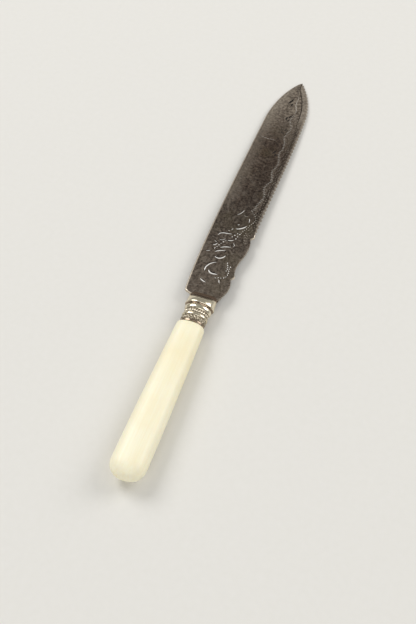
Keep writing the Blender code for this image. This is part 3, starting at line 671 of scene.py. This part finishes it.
def handle_mesh():
    """Smooth handle: spigot inside the ferrule, rounded shoulder, long swelling grip and domed butt."""
    rings = [oval_ring(y, SPIGOT_HALF_WIDTH, SPIGOT_HALF_THICK, SPIGOT_SQUARENESS)
             for y in (SPIGOT_FRONT_Y, HANDLE_FRONT_Y)]
    for i in range(SHOULDER_STEPS + 1):
        turn = math.pi / 2 * i / SHOULDER_STEPS
        lost = SHOULDER_RADIUS * (1 - math.sin(turn))
        y = HANDLE_FRONT_Y - SHOULDER_RADIUS * (1 - math.cos(turn))
        width = handle_half_width(y)
        rings.append(oval_ring(y, width - lost, width * OVAL - lost, HANDLE_SQUARENESS))
    for i in range(1, GRIP_STEPS + 1):
        y = (HANDLE_FRONT_Y - SHOULDER_RADIUS
             + (GRIP_END_Y - HANDLE_FRONT_Y + SHOULDER_RADIUS) * i / GRIP_STEPS)
        width = handle_half_width(y)
        rings.append(oval_ring(y, width, width * OVAL, HANDLE_SQUARENESS))
    for i in range(1, DOME_STEPS + 1):
        share = math.sin(math.pi / 2 * i / DOME_POLE)
        y = GRIP_END_Y - DOME_LENGTH * share
        width = handle_half_width(y) * (1 - share ** DOME_SQUARENESS) ** (1 / DOME_SQUARENESS)
        rings.append(oval_ring(y, width, width * OVAL, HANDLE_SQUARENESS))
    return loft("handle_grip", rings, [0.0] * len(rings))


def path_object(name, paths, cyclic=False):
    """Smooth curves through points (x, y, z, width); the width is kept as the curve's radius."""
    curve = bpy.data.curves.new(name, "CURVE")
    curve.dimensions = "3D"
    for points in paths:
        spline = curve.splines.new("BEZIER")
        spline.bezier_points.add(len(points) - 1)
        spline.use_cyclic_u = cyclic
        for knot, (x, y, z, width) in zip(spline.bezier_points, points):
            knot.co, knot.radius = (x, y, z), width
            knot.handle_left_type = knot.handle_right_type = "AUTO"
    return scene_object(name, curve)


def lens_object(name, length, width, height, sides, point=1.0):
    """A small closed mark: a lens with its long way along X, pointed or round at the ends."""
    mesh = bmesh.new()
    loops = []
    for size, z in ((1.0, MARK_FOOT), (1.0, 0.0), (MARK_SHOULDER, height * MARK_SHOULDER_RISE)):
        ring = []
        for i in range(sides):
            turn = math.tau * i / sides
            bulge = math.copysign(abs(math.sin(turn)) ** point, math.sin(turn))
            ring.append(mesh.verts.new((length / 2 * size * math.cos(turn), width / 2 * size * bulge, z)))
        loops.append(ring)
    top = mesh.verts.new((0, 0, height))
    mesh.faces.new(reversed(loops[0]))
    skin(mesh, loops[1], loops[0])
    skin(mesh, loops[2], loops[1])
    for a, b in zip(loops[2], loops[2][1:] + loops[2][:1]):
        mesh.faces.new((a, b, top))
    return scene_object(name, finished_mesh(name, mesh))


def new_tree(name, inputs):
    """A node tree with these named inputs and a material; gives it and the sockets that bring them in."""
    tree = bpy.data.node_groups.new(name, "GeometryNodeTree")
    tree.interface.new_socket("Geometry", in_out="INPUT", socket_type="NodeSocketGeometry")
    tree.interface.new_socket("Geometry", in_out="OUTPUT", socket_type="NodeSocketGeometry")
    for label, kind in (*inputs, ("Material", "Material")):
        tree.interface.new_socket(label, in_out="INPUT", socket_type="NodeSocket" + kind)
    return tree, tree.nodes.new("NodeGroupInput").outputs


def set_marks(tree, given, points, rotation, **more):
    """End a tree by setting its mark on points, turned as given."""
    mark = add_node(tree, "GeometryNodeObjectInfo", {"Object": given["Mark"], "As Instance": True})
    marks = add_node(tree, "GeometryNodeInstanceOnPoints",
                     {"Points": points, "Instance": mark.outputs["Geometry"], "Rotation": rotation, **more})
    return close_tree(tree, given, marks)


def close_tree(tree, given, geometry):
    """End a tree: realize what was instanced and give it the material."""
    real = add_node(tree, "GeometryNodeRealizeInstances", {"Geometry": geometry})
    done = add_node(tree, "GeometryNodeSetMaterial", {"Geometry": real, "Material": given["Material"]})
    add_node(tree, "NodeGroupOutput", {0: done})
    return tree


def grown(thing, tree, values, helper):
    """Run a tree on an object with the named input values; gives the plain mesh and removes the helper."""
    modifier = thing.modifiers.new("grow", "NODES")
    modifier.node_group = tree
    for item in tree.interface.items_tree:
        if item.in_out == "INPUT" and item.name in values:
            modifier[item.identifier] = values[item.name]
    data = evaluated_mesh(thing)
    data.materials.clear()
    data.materials.append(values["Material"])
    data.polygons.foreach_set("material_index", [0] * len(data.polygons))
    bpy.data.objects.remove(helper)
    return data


@cache
def swept_cut_tree():
    """Sweeps a V-cut section along curves, swelling in the middle and thin at both ends."""
    tree, given = new_tree("swept_cuts", (("Section", "Object"), ("Step", "Float")))
    fine = add_node(tree, "GeometryNodeResampleCurve", {"Curve": given["Geometry"], "Length": given["Step"]},
                    mode="LENGTH")
    flat = add_node(tree, "GeometryNodeSetCurveNormal", {"Curve": fine}, mode="Z_UP")
    run = add_node(tree, "GeometryNodeSplineParameter").outputs["Factor"]
    wide = add_node(tree, MATH, {0: 1.0, 1: run}, operation="SUBTRACT")
    for operation, value in (("MULTIPLY", run), ("MULTIPLY", 4.0), ("POWER", CUT_SWELL),
                             ("MAXIMUM", CUT_LEAST),
                             ("MULTIPLY", add_node(tree, "GeometryNodeInputRadius"))):
        wide = add_node(tree, MATH, {0: wide, 1: value}, operation=operation)
    section = add_node(tree, "GeometryNodeObjectInfo", {"Object": given["Section"]}).outputs["Geometry"]
    sweep = add_node(tree, "GeometryNodeCurveToMesh",
                     {"Curve": flat, "Profile Curve": section, "Scale": wide, "Fill Caps": True})
    return close_tree(tree, given, sweep)


@cache
def line_marks_tree():
    """Sets marks along curves lying flat, all leaning one way and swung a little to either side in turn."""
    tree, given = new_tree("marks_on_a_line", (("Mark", "Object"), ("Pitch", "Float"), ("Lean", "Float"),
                                               ("Swing", "Float")))
    points = add_node(tree, "GeometryNodeCurveToPoints",
                      {"Curve": given["Geometry"], "Length": given["Pitch"]}, mode="LENGTH")
    way = add_node(tree, "ShaderNodeSeparateXYZ", {"Vector": points.outputs["Tangent"]}).outputs
    heading = add_node(tree, MATH, {0: way["Y"], 1: way["X"]}, operation="ARCTAN2")
    odd = add_node(tree, MATH, {0: add_node(tree, "GeometryNodeInputIndex"), 1: 2.0}, operation="MODULO")
    side = add_node(tree, MATH, {0: odd, 1: 2.0, 2: -1.0}, operation="MULTIPLY_ADD")
    leaning = add_node(tree, MATH, {0: heading, 1: given["Lean"]}, operation="ADD")
    turn = add_node(tree, MATH, {0: side, 1: given["Swing"], 2: leaning}, operation="MULTIPLY_ADD")
    euler = add_node(tree, "ShaderNodeCombineXYZ", {"Z": turn})
    return set_marks(tree, given, points, add_node(tree, "FunctionNodeEulerToRotation", {"Euler": euler}))


def stipple_tree():
    """Scatters punched dots over a surface, evenly apart and of mixed size."""
    tree, given = new_tree("stipple", (("Mark", "Object"), ("Apart", "Float"), ("Density", "Float"),
                                       ("Seed", "Int")))
    points = add_node(tree, "GeometryNodeDistributePointsOnFaces",
                      {"Mesh": given["Geometry"], "Distance Min": given["Apart"],
                       "Density Max": given["Density"], "Seed": given["Seed"]}, distribute_method="POISSON")
    size = add_node(tree, "FunctionNodeRandomValue", {2: DOT_LEAST, 3: DOT_MOST, "Seed": given["Seed"]},
                    data_type="FLOAT")
    return set_marks(tree, given, points, points.outputs["Rotation"], Scale=size)


@cache
def ring_marks_tree():
    """Sets marks round an oval ring, standing on its surface with their length along the knife."""
    tree, given = new_tree("marks_round_a_ring", (("Mark", "Object"), ("Count", "Int"), ("Lean", "Float"),
                                                  ("Outward", "Vector")))
    points = add_node(tree, "GeometryNodeCurveToPoints",
                      {"Curve": given["Geometry"], "Count": given["Count"]}, mode="COUNT")
    place = add_node(tree, "GeometryNodeInputPosition")
    outward = add_node(tree, "ShaderNodeVectorMath", {0: place, 1: given["Outward"]}, operation="MULTIPLY")
    facing = add_node(tree, "FunctionNodeAxesToRotation",
                      {"Primary Axis": outward, "Secondary Axis": (0, 1, 0)},
                      primary_axis="Z", secondary_axis="X")
    euler = add_node(tree, "ShaderNodeCombineXYZ", {"Z": given["Lean"]})
    lean = add_node(tree, "FunctionNodeEulerToRotation", {"Euler": euler})
    rotation = add_node(tree, "FunctionNodeRotateRotation", {"Rotation": facing, "Rotate By": lean},
                        rotation_space="LOCAL")
    return set_marks(tree, given, points, rotation)


def face_height(x, y):
    """Height of the blade's upper face, which drops across the ground bevel."""
    if y < EDGE_START[1]:
        return HALF_THICK
    bevel, half_edge, _ = ground_bevel(y)
    return HALF_THICK - max(x - (along(EDGE, y) - bevel), 0) / bevel * (HALF_THICK - half_edge)


def on_face(points, width=1.0):
    """Plan points put on the blade's upper face."""
    return [(x, y, face_height(x, y), width) for x, y in points]


def cut_section():
    """Section of the tilted graver: it leaves one steep and one shallow wall."""
    curve = bpy.data.curves.new("cut_section", "CURVE")
    curve.dimensions = "3D"
    spline = curve.splines.new("POLY")
    spline.points.add(len(CUT_OUTLINE) - 1)
    for knot, (x, y) in zip(spline.points, CUT_OUTLINE):
        knot.co = (x, y, 0, 1)
    spline.use_cyclic_u = True
    return scene_object("cut_section", curve)


def nick_object(name, length, width, depth):
    """A closed lozenge along X, the tool that leaves one nick with a steep and a shallow side."""
    mesh = bmesh.new()
    rim = [mesh.verts.new((length / 2 * x, width / 2 * y, NICK_LIFT))
           for x, y in ((1, 0), (0, 1), (-1, 0), (0, -1))]
    for z in (depth, -depth):
        point = mesh.verts.new((0, width / 4, z))
        for a, b in zip(rim, rim[1:] + rim[:1]):
            mesh.faces.new((a, b, point))
    return scene_object(name, finished_mesh(name, mesh))


def outward_object(name, data):
    """An object whose closed bodies all face outward, with the mesh's own material."""
    material = data.materials[0]
    mesh = bmesh.new()
    mesh.from_mesh(data)
    thing = scene_object(name, finished_mesh(name, mesh))
    thing.data.materials.append(material)
    return thing


def steep_side_shaded(points):
    """A stroke's points in the order that puts its steep wall on the knife's far left, the key lamp's side,
    where it is painted as shade.
    """
    run = Vector(points[-1]) - Vector(points[0])
    return points if run.x * SHADED_WALL_SIDE[1] - run.y * SHADED_WALL_SIDE[0] > 0 else points[::-1]


def stroke_cutter(name, cuts, material):
    """A graver's strokes of the given widths, as one cutter."""
    path = path_object(name, [on_face(steep_side_shaded(points), width) for width, points in cuts])
    section = cut_section()
    values = {"Section": section, "Step": CUT_STEP, "Material": material}
    return outward_object(name, grown(path, swept_cut_tree(), values, section))


def nick_cutter(name, paths, size, row, material):
    """Nicks of one size along lines on the blade's face, as one cutter."""
    pitch, lean, swing = row
    nick = nick_object("nick", *size)
    path = path_object(name, [on_face(points) for points in paths])
    values = {"Mark": nick, "Pitch": pitch, "Lean": lean, "Swing": swing, "Material": material}
    return outward_object(name, grown(path, line_marks_tree(), values, nick))


def engraved_blade(plate, bright, dull, dark):
    """Blade with its engraving cut into the upper face: strokes, wriggle line and beaded stems."""
    blade = scene_object("blade_plate", blade_mesh())
    blade.data.materials.append(plate)
    cutters = [
        stroke_cutter("bright_strokes", BRIGHT_STROKES, bright),
        stroke_cutter("dark_strokes", DARK_STROKES, dark),
        stroke_cutter("dull_strokes", DULL_STROKES, dull),
        nick_cutter("wriggle", [WRIGGLE_LINE], WRIGGLE_NICK, WRIGGLE_ROW, dull),
        nick_cutter("stem", [STEM_LINE], STEM_NICK, STEM_ROW, dull),
        nick_cutter("stems", BEADED_STEMS, BEAD_NICK, BEAD_ROW, bright),
    ]
    data = carved(blade, cutters, "wriggle")
    mesh = bmesh.new()
    mesh.from_mesh(data)
    add_tang(mesh)
    materials = list(data.materials)
    # Steep walls of the bright and dull cuts turn black: painted shade.
    for face in mesh.faces:
        if materials[face.material_index] in (bright, dull) and face.normal.z < SHADED_WALL_Z:
            face.material_index = materials.index(dark)
    return finished_mesh("blade_plate", mesh, CUT_SHARP_ANGLE), materials


def stipple_ground():
    """Strip of the face between the wriggle line and the teeth, following the ground bevel."""
    inside = [*STIPPLE_INSIDE, *[(x + WRIGGLE_CLEAR, y) for x, y in WRIGGLE_LINE]]
    mesh = bmesh.new()
    rows = []
    y = inside[0][1]
    while y < inside[-1][1]:
        low = along(inside, y)
        high = along(EDGE, y) - EDGE_CLEAR if y > EDGE_START[1] else along(HEEL_SIDE, y) - HEEL_CLEAR
        across = [low + (high - low) * i / STIPPLE_COLUMNS for i in range(STIPPLE_COLUMNS + 1)]
        rows.append([mesh.verts.new((x, y, face_height(x, y))) for x in across])
        y += STIPPLE_ROW
    for near, far in zip(rows, rows[1:]):
        for i in range(STIPPLE_COLUMNS):
            mesh.faces.new((near[i], near[i + 1], far[i + 1], far[i]))
    return scene_object("stipple_ground", finished_mesh("stipple_ground", mesh))


def stipple_mesh(material):
    """Punched dots between the wriggle line and the teeth."""
    mark = lens_object("punched_dot", *DOT)
    values = {"Mark": mark, "Apart": DOTS_APART, "Density": DOT_DENSITY, "Seed": DOT_SEED,
              "Material": material}
    return grown(stipple_ground(), stipple_tree(), values, mark)


def ring_marks(name, y, half_width, count, size, lean, shift, material):
    """One row of marks round the ferrule."""
    points = []
    for i in range(RING_POINTS):
        turn = math.tau * (i / RING_POINTS + shift / count)
        points.append((half_width * math.cos(turn), y, half_width * OVAL * math.sin(turn), 1.0))
    mark = lens_object("mark", *size)
    ring = path_object(name, [points], cyclic=True)
    values = {"Mark": mark, "Count": count, "Lean": lean, "Outward": (1, 0, 1 / OVAL ** 2),
              "Material": material}
    return grown(ring, ring_marks_tree(), values, mark)


def ornament(name, rows, material):
    """Stamped rows of leaves and beads on the ferrule, as one mesh."""
    mesh = bmesh.new()
    for row in rows:
        mesh.from_mesh(ring_marks(*row, material))
    for face in mesh.faces:
        face.smooth = True
    return plain_mesh(name, mesh)


def place_piece(name, data, materials, node=None):
    """Lay a mesh down at rest, give it its materials and tie it to the frame."""
    data.transform(LAY_DOWN)
    data.name = name
    kept = [face.material_index for face in data.polygons]
    data.materials.clear()
    for material in materials:
        data.materials.append(material)
    data.polygons.foreach_set("material_index", kept)
    piece = scene_object(name, data)
    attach(piece, "root")
    if node:
        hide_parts(node)


def lay_table():
    """Pale board under the knife: matt off-white, so that shadows show and nothing else does."""
    mesh = bmesh.new()
    bmesh.ops.create_grid(mesh, x_segments=1, y_segments=1, size=BOARD_HALF_SIZE)
    board = scene_object("board", finished_mesh("board", mesh))
    board.data.materials.append(mottled("matt_white_board", "#e6e4df", "#e2e0da", 3, 3, 0.85))


def aim(thing, at, target):
    """Put a lamp or camera in its place and turn it to its target."""
    thing.location = at
    thing.rotation_euler = (Vector(target) - Vector(at)).to_track_quat("-Z", "Y").to_euler()


def light_studio():
    """Key lamp from the picture's upper left, weaker ones from right and front, and an even surround."""
    for name, at, size, power in LAMPS:
        lamp = bpy.data.lights.new(name, "AREA")
        lamp.shape, lamp.size, lamp.energy = "SQUARE", size, power
        aim(scene_object(name, lamp), at, (0, 0, 0))
    world = bpy.data.worlds.new("studio")
    world.use_nodes = True
    set_inputs(world.node_tree, world.node_tree.nodes["Background"],
               {"Color": linear(SURROUND), "Strength": SURROUND_STRENGTH})
    bpy.context.scene.world = world


def set_camera():
    """Camera where the photo was taken from."""
    camera = bpy.data.cameras.new("photo_camera")
    camera.lens = LENS
    thing = scene_object("photo_camera", camera)
    aim(thing, CAMERA_AT, CAMERA_TARGET)
    bpy.context.scene.camera = thing
    bpy.context.scene.view_settings.view_transform = "Standard"


def build_knife():
    """All pieces of the knife."""
    plate = tarnished_plate()
    # Black-brown sulphide in the dark cuts, the same black used as painted shade on the steep walls of the
    # other cuts, and paler grime behind the stamped ornament.
    black = mottled("oxide_and_painted_shade", "#0f0c09", "#2c241c", 0.9, 4, 0.55, 0.6)
    grime = mottled("grimed_silver", "#332a22", "#847660", 0.9, 4, 0.55, 0.6)
    # Fresh cuts painted near white and half matt so that they look white from every side, a painted
    # highlight, and older ones gone a little grey.
    cut = silver_plate("bright_cut_silver", "#ffffff", "#e6dfd3", 0.34, 0.28, 0.6)
    dulled = silver_plate("dulled_cut_silver", "#f4eee3", "#c6beb1", 0.45, 0.3, 0.6)
    # Mirror-like mouldings with sharp highlights, and dull grey dots that make the edge band look rough.
    polished = silver_plate("polished_silver_plate", "#f4ecd9", "#cfc2a4", 0.14)
    punched = silver_plate("punched_silver_plate", "#9a9184", "#6f665b", 0.42, 0.6)
    # Leaves standing bright off the front band, and duller, worn ones on the skirt.
    stamped = silver_plate("stamped_silver", "#efe7d6", "#b9ab90", 0.22)
    worn = silver_plate("dulled_stamped_silver", "#d8ceba", "#978b74", 0.28)
    # Brown shellac with coarse filler, hidden in the handle.
    resin = mottled("brown_resin", "#2e1a0f", "#5b3a22", 1.2, 4, 0.7)
    blade, blade_materials = engraved_blade(plate, cut, dulled, black)
    place_piece("blade_plate", blade, blade_materials, "blade")
    place_piece("stipple", stipple_mesh(punched), [punched])
    place_piece("bolster_casting", bolster_mesh(), [polished], "bolster")
    place_piece("ferrule_shell", ferrule_mesh(1), [polished, grime], "ferrule")
    place_piece("leaf_band", ornament("leaf_band", LEAF_BAND, stamped), [stamped])
    place_piece("skirt_foliage", ornament("skirt_foliage", SKIRT_FOLIAGE, worn), [worn])
    place_piece("handle_grip", handle_mesh(), [ivory_celluloid()], "handle")
    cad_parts["tang_cement"].data.materials[0] = resin


build_knife()
lay_table()
light_studio()
set_camera()
